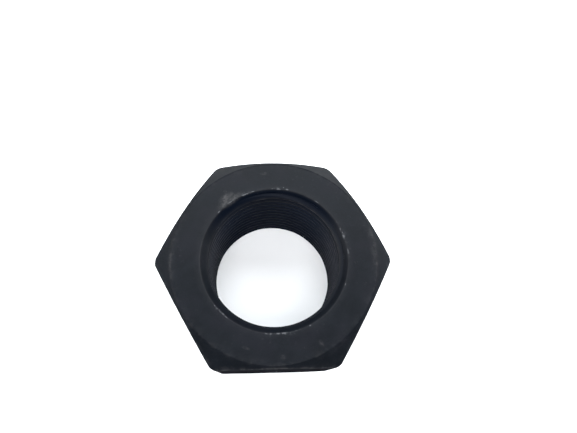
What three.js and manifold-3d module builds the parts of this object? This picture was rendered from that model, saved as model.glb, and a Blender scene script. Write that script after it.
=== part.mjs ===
// Hex nut for an M64 x 4 metric fine thread, right-handed, turned and tapped from hexagon bar.
// It is one solid piece. Millimetres, +Z up: the nut lies on its lower bearing face with the
// origin at the middle of that face, the bore runs along Z, and two opposite corners of the
// hexagon point along +X and -X.

import * as THREE from 'three';
import { mergeVertices } from 'three/addons/utils/BufferGeometryUtils.js';
import Module from 'manifold-3d';

const wasm = await Module();
wasm.setup();

// Driving dimensions of the nut
const nutHeight = 51;
const acrossFlats = 95;
const acrossCorners = 108.2; // a little under the sharp hexagon's, because the corners are turned
const bearingFaceDiameter = 92.2; // the flat ring left inside the corner chamfer
const cornerChamferAngle = THREE.MathUtils.degToRad(38); // between the chamfer and the bearing face
const countersinkDiameter = 66.4; // at the bearing face
const countersinkHalfAngle = THREE.MathUtils.degToRad(45); // between its wall and the axis

// Driving dimensions of the thread
const threadDiameter = 64;
const threadPitch = 4;

// Facets round a full circle
const turnedFacets = 120;
const threadFacets = 60;

// How far each cutting shape runs past the face that it cuts
const overrun = 2;

// ISO metric profile: the sharp triangle's height, and the diameter over the crests of a nut thread
const sharpHeight = threadPitch * Math.sqrt(3) / 2;
const threadDepth = sharpHeight * 5 / 8;
const boreDiameter = threadDiameter - 2 * threadDepth;

// A closed three.js geometry as a solid that can be cut and joined
function solidFrom(geometry) {
  const bare = geometry.clone();
  bare.deleteAttribute('normal');
  bare.deleteAttribute('uv');
  const merged = mergeVertices(bare);
  return new wasm.Manifold(new wasm.Mesh({
    numProp: 3,
    vertProperties: new Float32Array(merged.attributes.position.array),
    triVerts: new Uint32Array(merged.index.array),
  }));
}

// The finished solid back as a three.js geometry with flat facets
function geometryFrom(solid) {
  const mesh = solid.getMesh();
  const geometry = new THREE.BufferGeometry();
  geometry.setAttribute('position', new THREE.BufferAttribute(mesh.vertProperties, 3));
  geometry.setIndex(new THREE.BufferAttribute(mesh.triVerts, 1));
  return geometry;
}

// A solid of revolution about Z, from [radius, height] points that start and end on the axis,
// listed upwards so that its faces point out
function turnedSolid(profile, facets) {
  const points = profile.map(([radius, height]) => new THREE.Vector2(radius, height));
  const geometry = new THREE.LatheGeometry(points, facets);
  geometry.rotateX(Math.PI / 2);
  return solidFrom(geometry);
}

// A plain length of hexagon bar with its corners on +X and -X
function hexagonBar() {
  const outline = new THREE.Shape();
  const sharpCornerRadius = acrossFlats / Math.sqrt(3);
  for (let corner = 0; corner < 6; corner += 1) {
    const angle = corner * Math.PI / 3;
    const x = sharpCornerRadius * Math.cos(angle);
    const y = sharpCornerRadius * Math.sin(angle);
    if (corner === 0) {
      outline.moveTo(x, y);
    } else {
      outline.lineTo(x, y);
    }
  }
  outline.closePath();
  return solidFrom(new THREE.ExtrudeGeometry(outline, { depth: nutHeight, bevelEnabled: false }));
}

// The turned envelope: a disc of the diameter over the corners, chamfered at both faces
function turnedEnvelope() {
  const faceRadius = bearingFaceDiameter / 2;
  const cornerRadius = acrossCorners / 2;
  const chamferHeight = (cornerRadius - faceRadius) * Math.tan(cornerChamferAngle);
  return turnedSolid([
    [0, 0],
    [faceRadius, 0],
    [cornerRadius, chamferHeight],
    [cornerRadius, nutHeight - chamferHeight],
    [faceRadius, nutHeight],
    [0, nutHeight],
  ], turnedFacets);
}

// The cones that open the bore at the lower and the upper face
function countersinks() {
  const slope = Math.tan(countersinkHalfAngle);
  const mouthRadius = countersinkDiameter / 2;
  const coneHeight = mouthRadius / slope;
  const outerRadius = mouthRadius + overrun * slope;
  const lower = turnedSolid([[0, -overrun], [outerRadius, -overrun], [0, coneHeight]], threadFacets);
  const upper = turnedSolid([
    [0, nutHeight - coneHeight],
    [outerRadius, nutHeight + overrun],
    [0, nutHeight + overrun],
  ], threadFacets);
  return [lower, upper];
}

// One pitch of the thread as [height, radius] corners: the crest flat, then the root flat
function threadProfile() {
  const crestFlat = threadPitch / 4;
  const rootFlat = threadPitch / 8;
  const flank = (threadPitch - crestFlat - rootFlat) / 2;
  const crestRadius = boreDiameter / 2;
  const rootRadius = threadDiameter / 2;
  return [
    [0, crestRadius],
    [crestFlat, crestRadius],
    [crestFlat + flank, rootRadius],
    [crestFlat + flank + rootFlat, rootRadius],
  ];
}

// The tap: a screw longer than the nut is high, whose surface is the wall of the threaded bore.
// Its corners form a grid: a column for each facet round the circle, and rows that climb one
// pitch per turn, so that the seam joins each column's end to the first column one pitch up.
function tap() {
  const profile = threadProfile();
  const rowsPerPitch = profile.length;
  const turns = Math.ceil((nutHeight + 2 * overrun) / threadPitch) + 1;
  const rows = rowsPerPitch * turns;
  const lowest = -overrun - threadPitch;
  const positions = [];
  const triangles = [];

  function addCorner(column, row) {
    const angle = (column / threadFacets) * 2 * Math.PI;
    const [rise, radius] = profile[row % rowsPerPitch];
    const pitches = Math.floor(row / rowsPerPitch) + column / threadFacets;
    const height = lowest + rise + pitches * threadPitch;
    positions.push(radius * Math.cos(angle), radius * Math.sin(angle), height);
    return positions.length / 3 - 1;
  }

  const grid = [];
  for (let column = 0; column < threadFacets; column += 1) {
    const lastRow = column === 0 ? rows + rowsPerPitch : rows;
    grid.push([]);
    for (let row = 0; row <= lastRow; row += 1) {
      grid[column].push(addCorner(column, row));
    }
  }
  grid.push(grid[0].slice(rowsPerPitch));

  for (let column = 0; column < threadFacets; column += 1) {
    const near = grid[column];
    const far = grid[column + 1];
    for (let row = 0; row < rows; row += 1) {
      triangles.push(near[row], far[row], far[row + 1]);
      triangles.push(near[row], far[row + 1], near[row + 1]);
    }
  }

  // Each end is a fan from a point on the axis to the last row and to the step at the seam
  function closeEnd(row, height, order) {
    positions.push(0, 0, height);
    const tip = positions.length / 3 - 1;
    const rim = grid.map((column) => column[row]);
    const step = grid[0].slice(row, row + rowsPerPitch).reverse();
    const loop = rim.concat(step);
    for (let i = 0; i + 1 < loop.length; i += 1) {
      triangles.push(tip, loop[i + order], loop[i + 1 - order]);
    }
  }
  closeEnd(0, lowest, 1);
  closeEnd(rows, lowest + (turns + 1) * threadPitch, 0);

  const geometry = new THREE.BufferGeometry();
  geometry.setAttribute('position', new THREE.Float32BufferAttribute(positions, 3));
  geometry.setIndex(triangles);
  return solidFrom(geometry);
}

function hexNut() {
  let nut = hexagonBar().intersect(turnedEnvelope()).subtract(tap());
  for (const countersink of countersinks()) {
    nut = nut.subtract(countersink);
  }
  const blackOxidedSteel = new THREE.MeshStandardMaterial({
    color: 0x33373b,
    roughness: 0.5,
    metalness: 0.6,
    flatShading: true,
  });
  const mesh = new THREE.Mesh(geometryFrom(nut), blackOxidedSteel);
  mesh.name = 'hex_nut';
  return mesh;
}

const part = new THREE.Group();
part.add(hexNut());

export default part;
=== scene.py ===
"""A large black-oxide steel hex nut with an M64 x 4 thread, lying on a pale studio floor.

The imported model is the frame. The nut's visible skin is made here, as a finer mesh of the same
solid with rounded edges and a smooth helical thread, and it stands for the CAD node.
Lengths are in metres and angles in radians, unless a name or a comment says otherwise.
"""

import math

import bpy
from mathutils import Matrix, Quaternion, Vector


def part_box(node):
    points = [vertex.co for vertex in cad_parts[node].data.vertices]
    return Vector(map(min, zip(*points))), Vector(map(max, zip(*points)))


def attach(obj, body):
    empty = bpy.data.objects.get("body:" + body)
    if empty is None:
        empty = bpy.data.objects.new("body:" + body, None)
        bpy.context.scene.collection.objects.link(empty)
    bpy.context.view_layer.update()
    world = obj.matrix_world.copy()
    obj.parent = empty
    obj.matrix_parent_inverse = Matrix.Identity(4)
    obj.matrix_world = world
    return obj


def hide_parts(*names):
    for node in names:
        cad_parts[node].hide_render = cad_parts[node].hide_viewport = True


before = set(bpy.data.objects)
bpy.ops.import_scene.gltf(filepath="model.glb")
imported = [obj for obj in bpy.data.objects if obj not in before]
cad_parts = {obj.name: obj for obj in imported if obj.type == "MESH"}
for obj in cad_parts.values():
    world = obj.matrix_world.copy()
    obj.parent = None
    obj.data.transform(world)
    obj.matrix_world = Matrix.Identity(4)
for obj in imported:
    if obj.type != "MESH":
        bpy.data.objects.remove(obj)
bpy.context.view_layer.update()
MM = 0.001

# The nut, from the frame's own box and the sizes that it was designed to
node_low, node_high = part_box("hex_nut")
HEIGHT = node_high.z - node_low.z
FLAT_RADIUS = (node_high.y - node_low.y) / 2
CORNER_RADIUS = (node_high.x - node_low.x) / 2
FACE_RADIUS = 46.1 * MM
CHAMFER_ANGLE = math.radians(38)
MOUTH_RADIUS = 33.2 * MM
THREAD_RADIUS = 32 * MM
PITCH = 4 * MM
TRIANGLE_HEIGHT = PITCH * math.sqrt(3) / 2  # of a metric thread's sharp outline
CREST_RADIUS = THREAD_RADIUS - TRIANGLE_HEIGHT * 5 / 8
CREST_START = 2 * MM  # height on the +X side at which the first crest flat begins

# Edge rounds: how far each starts from the sharp edge
MOUTH_ROUND = 0.18 * MM
FACE_ROUND = 0.3 * MM
RIM_ROUND = 0.45 * MM
CORNER_SOFTNESS = 0.15 * MM
THREAD_ROUND = 0.02  # of a pitch

# Fineness of the mesh
COLUMNS_PER_CORNER = 48
COLUMN_CROWDING = 1.4  # above 1, columns stand closer together at the corners of the hexagon
ROUND_STEPS = 5
FACE_ROWS = 4
CHAMFER_ROWS = 2
SIDE_ROWS = 3
CREST_ROWS = 3
FLANK_ROWS = 6
ROOT_ROWS = 2
SPARE_TURNS = 2
SHADING_MARGIN = 0.35 * MM  # how close to an edge the first and last rows of a surface stand
LARGEST_MARGIN = 0.2  # of the surface's own length
RUN_OUT_GAP = 0.03 * MM  # smallest height between the mouth's round and a row of the bore
SHARP_TURN = math.radians(40)  # an edge that turns more than this is shaded sharp


def soft_least(a, b, softness):
    """The smaller of two numbers, with a smooth change from one to the other."""
    gap = abs(a - b)
    return min(a, b) - softness * math.log1p(math.exp(-gap / softness))


def from_nearest_corner(angle):
    """Angle from the hexagon's nearest corner, which is at most 30 degrees."""
    sector = math.pi / 3
    return abs((angle + sector / 2) % sector - sector / 2)


def outline_radius(angle):
    """Distance from the axis to the outside of the hexagon, with its corners turned down."""
    flat = FLAT_RADIUS / math.cos(math.pi / 6 - from_nearest_corner(angle))
    return soft_least(flat, CORNER_RADIUS, CORNER_SOFTNESS)


def column_angles():
    """Angles of the mesh's columns, all round the axis."""
    half = COLUMNS_PER_CORNER // 2
    angles = []
    for corner in range(6):
        for step in range(-half, half):
            share = step / half
            offset = math.copysign(abs(share) ** COLUMN_CROWDING, share) * math.pi / 6
            angles.append(corner * math.pi / 3 + offset)
    return angles


def rounded(before, corner, after, reach):
    """Points of a small round that replaces a corner of a profile."""
    start = corner + (before - corner).normalized() * reach
    end = corner + (after - corner).normalized() * reach
    points = []
    for step in range(ROUND_STEPS):
        t = step / (ROUND_STEPS - 1)
        points.append(start.lerp(corner, t).lerp(corner.lerp(end, t), t))
    return points


def spread(start, end, count):
    """Points between two others: one close to each end, and a count of others between those.

    The ones close to the ends keep the shading flat up to the edge rounds.
    """
    margin = min(SHADING_MARGIN / (end - start).length, LARGEST_MARGIN)
    shares = [margin]
    shares += [margin + (1 - 2 * margin) * (step + 1) / (count + 1) for step in range(count)]
    shares += [1 - margin]
    return [start.lerp(end, share) for share in shares]


def lower_outside(radius):
    """[radius, height] points from the bore's lower mouth, round the outside, to mid height."""
    wall_inside = Vector((CREST_RADIUS, MOUTH_RADIUS - CREST_RADIUS))
    mouth = Vector((MOUTH_RADIUS, 0))
    face_edge = Vector((FACE_RADIUS, 0))
    rim = Vector((radius, (radius - FACE_RADIUS) * math.tan(CHAMFER_ANGLE)))
    middle = Vector((radius, HEIGHT / 2))
    mouth_round = rounded(wall_inside, mouth, face_edge, MOUTH_ROUND)
    face_round = rounded(mouth, face_edge, rim, FACE_ROUND)
    rim_round = rounded(face_edge, rim, middle, RIM_ROUND)
    points = list(mouth_round)
    points += spread(mouth_round[-1], face_round[0], FACE_ROWS)
    points += face_round
    points += spread(face_round[-1], rim_round[0], CHAMFER_ROWS)
    points += rim_round
    points += spread(rim_round[-1], middle, SIDE_ROWS)
    return points


def outside_profile(angle):
    """The whole outside of one column, from the lower mouth to the upper mouth."""
    lower = lower_outside(outline_radius(angle))
    upper = [Vector((point.x, HEIGHT - point.y)) for point in reversed(lower)]
    return lower + upper


def thread_rows():
    """[share of a pitch, radius] for the rows of one turn of thread, with its corners eased."""
    stretches = [
        (0, 1 / 4, CREST_RADIUS, CREST_RADIUS, CREST_ROWS),
        (1 / 4, 9 / 16, CREST_RADIUS, THREAD_RADIUS, FLANK_ROWS),
        (9 / 16, 11 / 16, THREAD_RADIUS, THREAD_RADIUS, ROOT_ROWS),
        (11 / 16, 1, THREAD_RADIUS, CREST_RADIUS, FLANK_ROWS),
    ]
    rows = []
    for start, end, start_radius, end_radius, count in stretches:
        inside = THREAD_ROUND / (end - start)
        for step in range(count):
            share = inside + (1 - 2 * inside) * step / (count - 1)
            height = start + (end - start) * share
            radius = start_radius + (end_radius - start_radius) * share
            rows.append((height, radius))
    return rows


def bore_rows():
    """[turns above the first crest, radius] for all rows of the bore, and for some beyond its ends."""
    rows = []
    for turn in range(-SPARE_TURNS, math.ceil(HEIGHT / PITCH) + 2 * SPARE_TURNS):
        for share, radius in thread_rows():
            rows.append((turn + share, radius))
    return rows


def countersink_radius(height):
    """Radius of the 90 degree countersinks at a height."""
    return MOUTH_RADIUS - min(height, HEIGHT - height)


def point_at(angle, radius, height):
    return (radius * math.cos(angle), radius * math.sin(angle), node_low.z + height)


def outside_column(points, angle):
    """Adds the points of one column of the outside, and returns their numbers."""
    first = len(points)
    for radius, height in outside_profile(angle):
        points.append(point_at(angle, radius, height))
    return list(range(first, len(points)))


def bore_column(points, rows, angle, lower_mouth, upper_mouth):
    """Adds the points of one column of the bore, and returns their numbers.

    The rows climb one pitch per turn. Where they would leave the nut they share the mouth's point,
    so that the thread runs out into the countersinks.
    """
    lowest = MOUTH_ROUND * math.sqrt(0.5) + RUN_OUT_GAP
    column = []
    for turns_up, radius in rows:
        height = CREST_START + PITCH * (turns_up + angle / (2 * math.pi))
        if height < lowest:
            column.append(lower_mouth)
        elif height > HEIGHT - lowest:
            column.append(upper_mouth)
        else:
            column.append(len(points))
            points.append(point_at(angle, max(radius, countersink_radius(height)), height))
    return column


def strip(left, right):
    """Faces between two neighbouring columns. Rows that share points give a triangle, or nothing."""
    faces = []
    for row in range(min(len(left), len(right)) - 1):
        corners = [left[row], right[row], right[row + 1], left[row + 1]]
        corners = list(dict.fromkeys(corners))
        if len(corners) > 2:
            faces.append(corners)
    return faces


def nut_skin():
    """Points and faces of the nut. Each column runs up the outside and up the threaded bore."""
    rows = bore_rows()
    points = []
    outsides = []
    bores = []
    for angle in column_angles():
        outside = outside_column(points, angle)
        outsides.append(outside)
        bores.append(bore_column(points, rows, angle, outside[0], outside[-1]))
    # The circle closes on its first column, where the thread has climbed one whole turn
    outsides.append(outsides[0])
    bores.append(bores[0][len(thread_rows()):])

    faces = []
    for near, far in zip(outsides, outsides[1:]):
        faces += strip(near, far)
    for near, far in zip(bores, bores[1:]):
        faces += strip(far, near)
    return points, faces


# Each edge lies where two surfaces meet: the attribute's name, the surfaces, and the worn width
EDGES = {
    "mouth_edge": ("face", "countersink", 0.7 * MM),
    "face_edge": ("face", "chamfer", 0.9 * MM),
    "rim_edge": ("chamfer", "flat", 0.8 * MM),
    "corner_edge": ("flat", "turned", 0.2 * MM),
}
SURFACE_FADE = 0.3 * MM  # depth at which a point no longer belongs to a flat or a cone
BORE_FADE = 0.5 * MM  # from the mouth's radius inwards, until a point belongs to the bore fully
THREAD_FADE = 0.8 * MM  # from the countersink inwards, until a point belongs to the thread fully
THREAD_TOLERANCE = 0.1 * MM  # how far outside the thread's roots a point may lie


def depths(point):
    """How deep a point of the skin lies inside each kind of surface that bounds the nut."""
    radius = math.hypot(point.x, point.y)
    from_corner = from_nearest_corner(math.atan2(point.y, point.x))
    from_face = min(point.z - node_low.z, node_high.z - point.z)
    chamfer_rise = (radius - FACE_RADIUS) * math.tan(CHAMFER_ANGLE)
    return {
        "face": from_face,
        "countersink": (radius + from_face - MOUTH_RADIUS) * math.sqrt(0.5),
        "chamfer": (from_face - chamfer_rise) * math.cos(CHAMFER_ANGLE),
        "flat": FLAT_RADIUS - radius * math.cos(math.pi / 6 - from_corner),
        "turned": CORNER_RADIUS - radius,
    }


def closeness(depth, width):
    """1 on a surface, falling to 0 at a width below it."""
    return max(0.0, 1 - depth / width)


def share_of(value, whole):
    """How much of a whole a value is, kept between 0 and 1."""
    return max(0.0, min(1.0, value / whole))


def edge_values(point):
    """How close a point is to each kind of edge: 1 on the edge, 0 away from it."""
    depth = depths(point)
    values = {}
    for name, (one, other, width) in EDGES.items():
        values[name] = closeness(max(depth[one], depth[other]), width)
    return values


def area_values(point):
    """How far a point belongs to the flats, the cones, the bore, the thread and its crests."""
    depth = depths(point)
    radius = math.hypot(point.x, point.y)
    thread = 0.0
    if radius < THREAD_RADIUS + THREAD_TOLERANCE:
        thread = share_of(depth["countersink"], THREAD_FADE)
    return {
        "flat_side": closeness(depth["flat"], SURFACE_FADE),
        "cone": closeness(depth["chamfer"], SURFACE_FADE),
        "bore": share_of(MOUTH_RADIUS - radius, BORE_FADE),
        "thread": thread,
        "crest": share_of(THREAD_RADIUS - radius, THREAD_RADIUS - CREST_RADIUS) ** 2,
    }


def store(mesh, values_at):
    """Works named values out for each point of a mesh, and stores them as its attributes."""
    rows = [values_at(vertex.co) for vertex in mesh.vertices]
    for name in rows[0]:
        attribute = mesh.attributes.new(name, "FLOAT", "POINT")
        attribute.data.foreach_set("value", [row[name] for row in rows])


def add_object(name, data):
    thing = bpy.data.objects.new(name, data)
    bpy.context.scene.collection.objects.link(thing)
    return thing


def make_nut():
    points, faces = nut_skin()
    mesh = bpy.data.meshes.new("nut")
    mesh.from_pydata(points, [], faces)
    mesh.validate()
    mesh.shade_smooth()
    mesh.set_sharp_from_angle(angle=SHARP_TURN)
    store(mesh, edge_values)
    store(mesh, area_values)
    mesh.materials.append(black_oxide_steel())
    return add_object("nut", mesh)


class Shader:
    """A material's node graph, written as expressions: most methods add a node and return its output.

    Their arguments are plain values, or the outputs of other nodes.
    """

    def __init__(self, name):
        self.material = bpy.data.materials.new(name)
        self.material.use_nodes = True
        self.tree = self.material.node_tree
        self.surface = self.tree.nodes["Principled BSDF"]

    def feed(self, socket, value):
        """Links an output to a socket, or sets the socket to a plain value."""
        if isinstance(value, bpy.types.NodeSocket):
            self.tree.links.new(value, socket)
        else:
            socket.default_value = value

    def node(self, kind, inputs, output=0, **settings):
        node = self.tree.nodes.new(kind)
        for name, value in settings.items():
            setattr(node, name, value)
        for key, value in inputs.items():
            self.feed(node.inputs[key], value)
        return node.outputs[output]

    def set(self, **values):
        """Sets the shader's own inputs. An underscore in a name stands for a space."""
        for name, value in values.items():
            self.feed(self.surface.inputs[name.replace("_", " ")], value)

    def attribute(self, name):
        return self.node("ShaderNodeAttribute", {}, "Fac", attribute_name=name)

    def position(self):
        return self.node("ShaderNodeTexCoord", {}, "Object")

    def math(self, operation, *values):
        return self.node("ShaderNodeMath", dict(enumerate(values)), operation=operation)

    def add(self, *values):
        total = values[0]
        for value in values[1:]:
            total = self.math("ADD", total, value)
        return total

    def times(self, *values):
        product = values[0]
        for value in values[1:]:
            product = self.math("MULTIPLY", product, value)
        return product

    def largest(self, *values):
        result = values[0]
        for value in values[1:]:
            result = self.math("MAXIMUM", result, value)
        return result

    def dot(self, vector, other):
        inputs = {0: vector, 1: other}
        return self.node("ShaderNodeVectorMath", inputs, "Value", operation="DOT_PRODUCT")

    def length(self, vector):
        return self.node("ShaderNodeVectorMath", {0: vector}, "Value", operation="LENGTH")

    def stretch(self, vector, scale):
        return self.node("ShaderNodeVectorMath", {0: vector, 1: scale}, operation="MULTIPLY")

    def split(self, vector):
        """The x, y and z of a vector."""
        parts = self.tree.nodes.new("ShaderNodeSeparateXYZ")
        self.feed(parts.inputs[0], vector)
        return parts.outputs

    def combine(self, x, y, z):
        return self.node("ShaderNodeCombineXYZ", {"X": x, "Y": y, "Z": z})

    def noise(self, vector, scale, detail=3.0, roughness=0.55):
        """Soft random values around 0.5. The scale is about the number of spots in a unit of length."""
        inputs = {"Vector": vector, "Scale": scale, "Detail": detail, "Roughness": roughness}
        return self.node("ShaderNodeTexNoise", inputs, "Fac")

    def step(self, value, start, end):
        """0 below start, 1 above end, and smooth between them. With start above end it falls."""
        inputs = {"Value": value, "From Min": start, "From Max": end}
        return self.node("ShaderNodeMapRange", inputs, interpolation_type="SMOOTHSTEP")

    def range(self, value, low, high):
        """A value from 0 to 1 spread from low to high."""
        return self.node("ShaderNodeMapRange", {"Value": value, "To Min": low, "To Max": high})

    def blend(self, share, first, second):
        """A colour between two others. A Mix node's colours are inputs 6 and 7 and output 2."""
        inputs = {"Factor": share, 6: first, 7: second}
        return self.node("ShaderNodeMix", inputs, 2, data_type="RGBA")

    def mix(self, share, first, second):
        """A number between two others. A Mix node's numbers are inputs 2 and 3 and output 0."""
        return self.node("ShaderNodeMix", {"Factor": share, 2: first, 3: second}, data_type="FLOAT")

    def bump(self, height, strength, distance, normal=None):
        inputs = {"Height": height, "Strength": strength, "Distance": distance}
        if normal is not None:
            inputs["Normal"] = normal
        return self.node("ShaderNodeBump", inputs)


# Marks on the upper face: [distance from the axis, direction, length, width], where the direction is
# in degrees from +X and the rest in millimetres. The length runs round the axis
MOUTH_NICKS = [
    (33.4, 139, 2.2, 0.6),
    (33.4, 127, 3.4, 0.4),
    (33.4, 114, 5.5, 0.4),
    (33.4, 107, 2.6, 0.5),
    (33.4, 91, 0.9, 0.5),
    (33.6, 79, 1.8, 0.9),
    (34.3, 82, 0.8, 0.6),
    (33.4, 53, 3.2, 0.4),
    (33.4, 20, 1.6, 0.4),
    (33.4, 5, 2.4, 0.4),
    (33.5, -22, 1.6, 0.5),
    (33.5, -64, 1.2, 0.7),
    (33.4, -97, 1.5, 0.5),
    (33.4, -129, 2.2, 0.4),
    (33.4, -141, 1.2, 0.5),
]
FACE_MARKS = [
    (42.8, -86, 3.2, 3.0),
    (40.8, -108, 4.5, 1.8),
    (42.1, -63, 2.4, 5.0),
    (39.2, 125, 2.4, 2.2),
    (41.5, 96, 5.0, 2.4),
]
# Painted highlights: extra rubbed steel along the face's edge on the left and right sides, where the
# side lamps put a highlight
CHAMFER_SIDE_HIGHLIGHTS = [
    (46.1, 178, 38, 12),
    (46.1, 4, 38, 12),
]
WORN_MOUTH_ARCS = [
    (33.2, 14, 30, 12),
    (33.2, 119, 20, 8),
    (33.2, 85, 10, 6),
    (33.2, -84, 34, 6),
    (33.2, -135, 11, 6),
]
RUBBED_PATCHES = [
    (33.9, 127, 17, 5.5),
    (36.2, 127, 10, 5.5),
]
MARK_REACH = 2 * MM  # above and below the upper face
MARK_CORE = 0.2  # of a mark's half size, inside which it is at its strongest

# Colours, as linear light
OXIDE_DARK = (0.0018, 0.0025, 0.0037, 1)
OXIDE_LIGHT = (0.0033, 0.0043, 0.0061, 1)
OXIDE_PURPLE = (0.0034, 0.0037, 0.0056, 1)
RUBBED_STEEL = (0.039, 0.038, 0.039, 1)
BARE_STEEL = (0.060, 0.062, 0.067, 1)
# The roots are lighter than the crests: painted fill light that offsets the shade in the thread's
# grooves
THREAD_ROOT_PAINTED_LIGHT = (0.0205, 0.0223, 0.0283, 1)
THREAD_CREST = (0.0096, 0.0105, 0.0134, 1)
# Painted shade with a blue cast of reflected light for the bore's far side, behind the axis: darker,
# bluer copies of the thread's and the countersink's tones
SHADED_BLUE_ROOT = (0.0063, 0.0090, 0.0160, 1)
SHADED_BLUE_CREST = (0.0029, 0.0042, 0.0076, 1)
SHADED_BLUE_COUNTERSINK = (0.0005, 0.0015, 0.0040, 1)
ROLLED_DARK = (0.0050, 0.0053, 0.0066, 1)
ROLLED_LIGHT = (0.0092, 0.0096, 0.0114, 1)
PAPER_DARK = (0.92, 0.92, 0.92, 1)
PAPER_LIGHT = (0.94, 0.94, 0.94, 1)

# Specular levels. The flats have none, because at the camera's low angle to the front one they would
# mirror the pale floor
FACE_SHINE = 0.066
CONE_SHINE = 0.038
FAR_MOUTH_SHINE = 0.045
THREAD_SHINE = 0.02
FLAT_SHINE = 0.0

# Where the thread's colour changes along the bore, and where the painted shade with a blue cast begins
# on the bore's far side
FIRST_TURNS_START = 14 * MM  # below the upper face
FIRST_TURNS_FULL = 4 * MM
FAR_SHADE_START = 6 * MM  # behind the axis
FAR_SHADE_FULL = 24 * MM

# Scale of the long patterns, per metre. The grooves run round the axis. The lines and the streaks run
# along it, so that their scale in z is the smallest
GROOVES_ACROSS = 3200
GROOVES_ALONG = 70
DRAWN_LINES = (1600, 1600, 45)
ROLLED_STREAKS = (420, 420, 28)

# Depth of the relief
GROOVE_DEPTH = 0.02 * MM
GRAIN_DEPTH = 0.02 * MM
NICK_DEPTH = 0.12 * MM

BARE_METALLIC = 0.25


class OxideShader(Shader):
    """The nut's finish: a thin black oxide, a little mottled, and worn through along the edges."""

    def __init__(self):
        super().__init__("worn_black_oxide")
        self.place = self.position()
        self.clouds = self.noise(self.place, scale=38, detail=4.0)
        self.mottle = self.noise(self.place, scale=190, detail=5.0, roughness=0.62)
        self.grain = self.noise(self.place, scale=2600, detail=2.0, roughness=0.6)
        self.breaks = self.noise(self.place, scale=330, detail=4.0, roughness=0.7)
        self.speckle = self.step(self.breaks, 0.45, 0.62)
        self.flat_side = self.attribute("flat_side")
        self.thread = self.attribute("thread")
        self.crest = self.attribute("crest")
        self.first_turns = self.first_turns_share()
        # The far side of the bore, behind the axis, where shade with a blue cast is painted
        self.shaded_far_side = self.step(self.dot(self.place, (0, 1, 0)), FAR_SHADE_START, FAR_SHADE_FULL)
        self.shaded_far_mouth = self.times(self.attribute("bore"), self.shaded_far_side)
        self.nicks = self.marked(MOUTH_NICKS)
        self.bare = self.bare_share()

    def first_turns_share(self):
        """1 at the first turns of thread below the upper face, falling to 0 deeper in the bore."""
        height = self.dot(self.place, (0, 0, 1))
        return self.step(height, node_high.z - FIRST_TURNS_START, node_high.z - FIRST_TURNS_FULL)

    def mark_on_face(self, mark):
        """1 in the middle of an oval mark on the upper face, falling to 0 at its outline."""
        distance, degrees, length, width = mark
        angle = math.radians(degrees)
        inputs = {
            "Vector": self.place,
            "Location": (distance * MM * math.cos(angle), distance * MM * math.sin(angle), node_high.z),
            "Rotation": (0, 0, angle),
            "Scale": (width / 2 * MM, length / 2 * MM, MARK_REACH),
        }
        inside = self.node("ShaderNodeMapping", inputs, vector_type="TEXTURE")
        return self.step(self.length(inside), 1, MARK_CORE)

    def marked(self, marks):
        """1 in the middle of any of the marks, and 0 outside them all."""
        return self.largest(*[self.mark_on_face(mark) for mark in marks])

    def turned_tone(self):
        """The oxide of the faces and cones: two dark tones in grains, with a purple tint in places."""
        share = self.add(
            self.times(self.clouds, 0.45),
            self.times(self.mottle, 0.4),
            self.times(self.grain, 0.35),
        )
        tone = self.blend(self.step(share, 0.45, 0.75), OXIDE_DARK, OXIDE_LIGHT)
        tinted = self.step(self.noise(self.place, scale=75), 0.48, 0.64)
        return self.blend(self.times(tinted, 0.5), tone, OXIDE_PURPLE)

    def thread_tone(self):
        """The thread's oxide. It has painted shade with a blue cast of reflected light on the back of
        the bore, and painted fill light that makes the roots lighter than the crests.
        """
        # Painted fill light: the roots are lighter than the crests
        plain = self.blend(self.crest, THREAD_ROOT_PAINTED_LIGHT, THREAD_CREST)
        shaded_blue = self.blend(self.crest, SHADED_BLUE_ROOT, SHADED_BLUE_CREST)
        return self.blend(self.shaded_far_side, plain, shaded_blue)

    def rolled_tone(self):
        """The oxide of the wrench flats: two tones in streaks along the bar."""
        streaks = self.noise(self.stretch(self.place, ROLLED_STREAKS), scale=1)
        share = self.add(
            self.times(self.clouds, 0.3),
            self.times(self.mottle, 0.4),
            self.times(streaks, 0.3),
        )
        return self.blend(self.step(share, 0.38, 0.66), ROLLED_DARK, ROLLED_LIGHT)

    def tone(self):
        """The colour of the unworn oxide all over the nut, with painted shade and a blue cast on the
        far side of the bore.
        """
        # Painted shade with a blue cast on the countersink and bore behind the axis
        tone = self.blend(self.shaded_far_mouth, self.turned_tone(), SHADED_BLUE_COUNTERSINK)
        thread_share = self.times(self.thread, self.range(self.first_turns, 1.0, 0.25))
        tone = self.blend(thread_share, tone, self.thread_tone())
        return self.blend(self.flat_side, tone, self.rolled_tone())

    def rubbed_share(self):
        """Where the oxide is rubbed thin: on marks, edges and the first crests, and in small specks. It
        also paints a highlight, as rubbed steel, along the face's edge on the left and right sides.
        """
        fine = self.step(self.noise(self.place, scale=850, detail=4.0, roughness=0.7), 0.42, 0.62)
        specks = self.step(self.noise(self.place, scale=520, roughness=0.7), 0.62, 0.75)
        face_edge = self.attribute("face_edge")
        highlit_sides = self.marked(CHAMFER_SIDE_HIGHLIGHTS)
        return self.largest(
            self.times(self.marked(RUBBED_PATCHES), self.range(fine, 0.25, 0.65)),
            self.times(self.marked(FACE_MARKS), self.range(fine, 0.05, 0.25)),
            self.times(face_edge, self.range(self.speckle, 0.0, 0.12)),
            # Painted highlight along the face's edge on the left and right sides, on top of its rubbed
            # wear
            self.times(face_edge, highlit_sides, self.range(self.speckle, 0.1, 0.38)),
            self.times(self.attribute("rim_edge"), self.range(self.speckle, 0.08, 0.6)),
            self.times(self.attribute("corner_edge"), self.range(self.speckle, 0.1, 0.55)),
            self.times(self.attribute("mouth_edge"), self.range(self.breaks, 0.0, 0.2)),
            self.times(self.crest, self.crest, self.first_turns, self.range(self.breaks, 0.0, 0.35)),
            self.times(specks, 0.12),
        )

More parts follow.
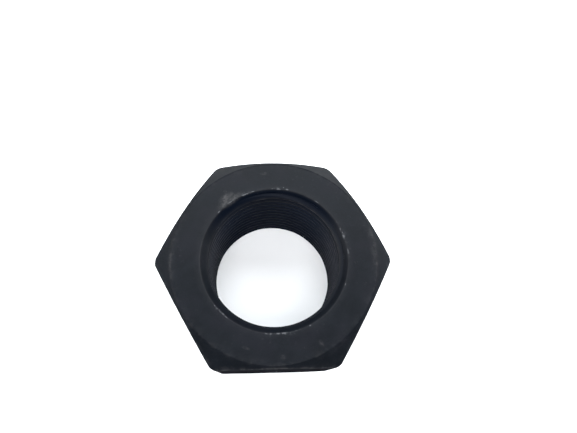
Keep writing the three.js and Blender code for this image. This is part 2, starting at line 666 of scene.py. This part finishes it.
    def bare_share(self):
        """Where the steel is bare: on the worn arcs of the mouth's edge, and in the nicks along it."""
        mouth_edge = self.attribute("mouth_edge")
        worn_arcs = self.marked(WORN_MOUTH_ARCS)
        wear = self.times(mouth_edge, worn_arcs, self.range(self.speckle, 0.15, 0.85))
        return self.largest(self.step(wear, 0.1, 0.9), self.times(self.nicks, 0.8))

    def colour(self):
        colour = self.blend(self.rubbed_share(), self.tone(), RUBBED_STEEL)
        return self.blend(self.bare, colour, BARE_STEEL)

    def roughness(self):
        return self.add(
            self.range(self.mottle, 0.34, 0.48),
            self.times(self.flat_side, 0.35),
            self.times(self.thread, 0.15),
            self.range(self.grain, -0.05, 0.05),
            self.times(self.bare, 0.06),
        )

    def shine(self):
        """The specular level, which differs from one kind of surface to another."""
        shine = self.range(self.attribute("cone"), FACE_SHINE, CONE_SHINE)
        shine = self.mix(self.shaded_far_mouth, shine, FAR_MOUTH_SHINE)
        shine = self.mix(self.thread, shine, THREAD_SHINE)
        return self.mix(self.flat_side, shine, FLAT_SHINE)

    def turning_marks(self):
        """Fine grooves round the axis, as a facing tool leaves them, that vary slowly on their way."""
        x, y, z = self.split(self.place)
        radius = self.math("SQRT", self.add(self.times(x, x), self.times(y, y)))
        across = self.times(self.add(radius, z), GROOVES_ACROSS)
        grooves = self.combine(across, self.times(x, GROOVES_ALONG), self.times(y, GROOVES_ALONG))
        return self.noise(grooves, scale=1, detail=2.0)

    def drawn_lines(self):
        """Faint lines along the bar, on the wrench flats."""
        return self.noise(self.stretch(self.place, DRAWN_LINES), scale=1, detail=2.0)

    def relief(self):
        grooves = self.mix(self.flat_side, self.turning_marks(), self.drawn_lines())
        relief = self.bump(grooves, strength=0.25, distance=GROOVE_DEPTH)
        relief = self.bump(self.grain, strength=0.3, distance=GRAIN_DEPTH, normal=relief)
        dents = self.largest(self.nicks, self.times(self.bare, 0.3))
        return self.bump(dents, strength=0.6, distance=-NICK_DEPTH, normal=relief)


def black_oxide_steel():
    shader = OxideShader()
    shader.set(
        Base_Color=shader.colour(),
        Metallic=shader.times(shader.bare, BARE_METALLIC),
        Roughness=shader.roughness(),
        Specular_IOR_Level=shader.shine(),
        Normal=shader.relief(),
    )
    return shader.material


def pale_paper():
    """Matt studio paper, with a very faint unevenness."""
    shader = Shader("pale_paper")
    share = shader.noise(shader.position(), scale=6)
    shader.set(Base_Color=shader.blend(share, PAPER_DARK, PAPER_LIGHT), Roughness=0.9)
    return shader.material


FLOOR_HALF = 3.0  # half the length of the floor's sides


def make_floor():
    corners = [(-1, -1), (1, -1), (1, 1), (-1, 1)]
    points = [(x * FLOOR_HALF, y * FLOOR_HALF, node_low.z) for x, y in corners]
    mesh = bpy.data.meshes.new("floor")
    mesh.from_pydata(points, [], [(0, 1, 2, 3)])
    mesh.materials.append(pale_paper())
    return add_object("floor", mesh)


def aim(thing, place, target):
    """Puts a light or a camera at a place and turns it towards a target."""
    thing.location = place
    thing.rotation_mode = "QUATERNION"
    thing.rotation_quaternion = (target - place).to_track_quat("-Z", "Y")


def direction(azimuth, elevation):
    """Unit vector from the nut towards a place, from degrees.

    Azimuth 0 is the -Y side, where the camera stands, and azimuth 90 is the +X side.
    """
    around = math.radians(azimuth)
    above = math.radians(elevation)
    level = math.cos(above)
    return Vector((math.sin(around) * level, -math.cos(around) * level, math.sin(above)))


# Softboxes: [name, azimuth and elevation in degrees, width, height, power in watts, colour]
SOFTBOXES = [
    ("back", 180, 59, 1.0, 0.35, 11.8, (0.95, 1.0, 1.04)),
    ("left", -90, 38, 0.5, 0.5, 9.6, (0.97, 1.0, 1.03)),
    ("right", 105, 38, 0.5, 0.5, 11.4, (0.97, 1.0, 1.03)),
    ("front", 0, 62, 0.5, 0.5, 8.8, (0.98, 1.0, 1.03)),
]
SOFTBOX_DISTANCE = 0.9
SKY_COLOUR = (0.98, 1.0, 1.02, 1)
SKY_STRENGTH = 0.46


def make_softbox(name, azimuth, elevation, width, height, power, colour):
    light = bpy.data.lights.new(name, "AREA")
    light.shape = "RECTANGLE"
    light.size = width
    light.size_y = height
    light.energy = power
    light.color = colour
    centre = Vector((0, 0, node_low.z + HEIGHT / 2))
    aim(add_object(name, light), centre + direction(azimuth, elevation) * SOFTBOX_DISTANCE, centre)


def make_world():
    world = bpy.data.worlds.new("studio")
    world.use_nodes = True
    background = world.node_tree.nodes["Background"]
    background.inputs["Color"].default_value = SKY_COLOUR
    background.inputs["Strength"].default_value = SKY_STRENGTH
    bpy.context.scene.world = world


# The camera, from the photograph's perspective: it looks at a point behind and above the nut's middle
CAMERA_TARGET = Vector((7.75, 25.2, 35.2)) * MM
CAMERA_AZIMUTH = -10.06  # degrees, as are the elevation and the roll
CAMERA_ELEVATION = 69.63
CAMERA_ROLL = 9.1
CAMERA_DISTANCE = 233.6 * MM
CAMERA_LENS = 29.3  # millimetres, as is the sensor
CAMERA_SENSOR = 36
CAMERA_NEAREST = 0.01


def make_camera():
    data = bpy.data.cameras.new("camera")
    data.sensor_width = CAMERA_SENSOR
    data.lens = CAMERA_LENS
    data.clip_start = CAMERA_NEAREST
    camera = add_object("camera", data)
    place = CAMERA_TARGET + direction(CAMERA_AZIMUTH, CAMERA_ELEVATION) * CAMERA_DISTANCE
    aim(camera, place, CAMERA_TARGET)
    camera.rotation_quaternion @= Quaternion((0, 0, 1), math.radians(CAMERA_ROLL))
    bpy.context.scene.camera = camera


def main():
    bpy.context.scene.view_settings.view_transform = "Standard"
    make_world()
    for softbox in SOFTBOXES:
        make_softbox(*softbox)
    make_floor()
    nut = make_nut()
    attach(nut, "root")
    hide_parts("hex_nut")
    make_camera()


main()
